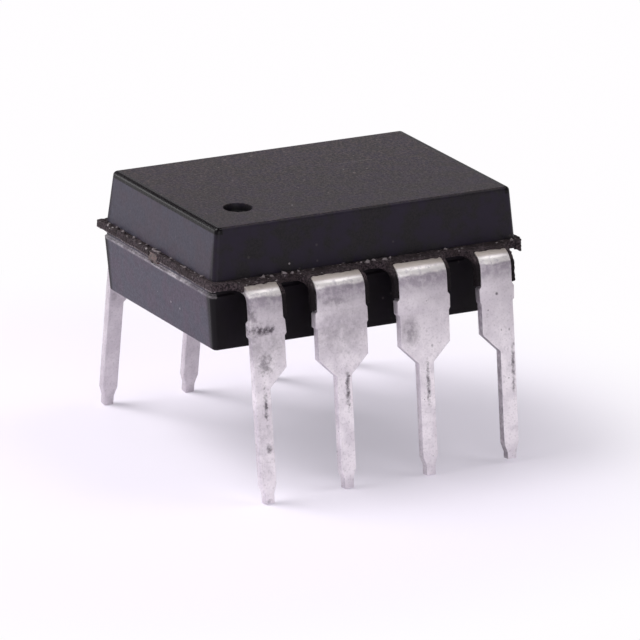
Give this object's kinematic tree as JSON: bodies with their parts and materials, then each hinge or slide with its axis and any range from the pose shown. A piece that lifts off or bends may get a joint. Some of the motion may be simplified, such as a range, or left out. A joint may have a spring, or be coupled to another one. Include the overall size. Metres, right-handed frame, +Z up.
{
  "type": "dip integrated circuit chip",
  "caption": "Dual in-line package: black moulded body with a locating dimple and a row of formed, splayed through-hole leads down each long side.",
  "frame": {"origin": "on the surface the lead tips stand on, below the middle of the body", "axes": "+Z up through the body's top face; +X along the rows, from pin 1 towards the last pin of the front row; the front row is on -Y and the back row on +Y"},
  "size_m": [0.0098, 0.01, 0.0073],
  "materials": {
    "moulding_compound": "matte black moulded epoxy, rough at the flash line",
    "tin_plate": "dull tin plate, smudged and scratched, burnished on the bends",
    "frame_metal": "bare copper alloy lead frame, satin",
    "attach_adhesive": "silver-filled adhesive, matte",
    "silicon": null,
    "wire_metal": "bright gold wire"
  },
  "bodies": {
    "root": {"moulded_body": "moulding_compound", "die_pad": "frame_metal", "die_attach": "attach_adhesive", "die": "silicon", "lead_1": "tin_plate", "lead_2": "tin_plate", "lead_3": "tin_plate", "lead_4": "tin_plate", "lead_5": "tin_plate", "lead_6": "tin_plate", "lead_7": "tin_plate", "lead_8": "tin_plate", "bond_wire_1": "wire_metal", "bond_wire_2": "wire_metal", "bond_wire_3": "wire_metal", "bond_wire_4": "wire_metal", "bond_wire_5": "wire_metal", "bond_wire_6": "wire_metal", "bond_wire_7": "wire_metal", "bond_wire_8": "wire_metal"}
  },
  "joints": []
}
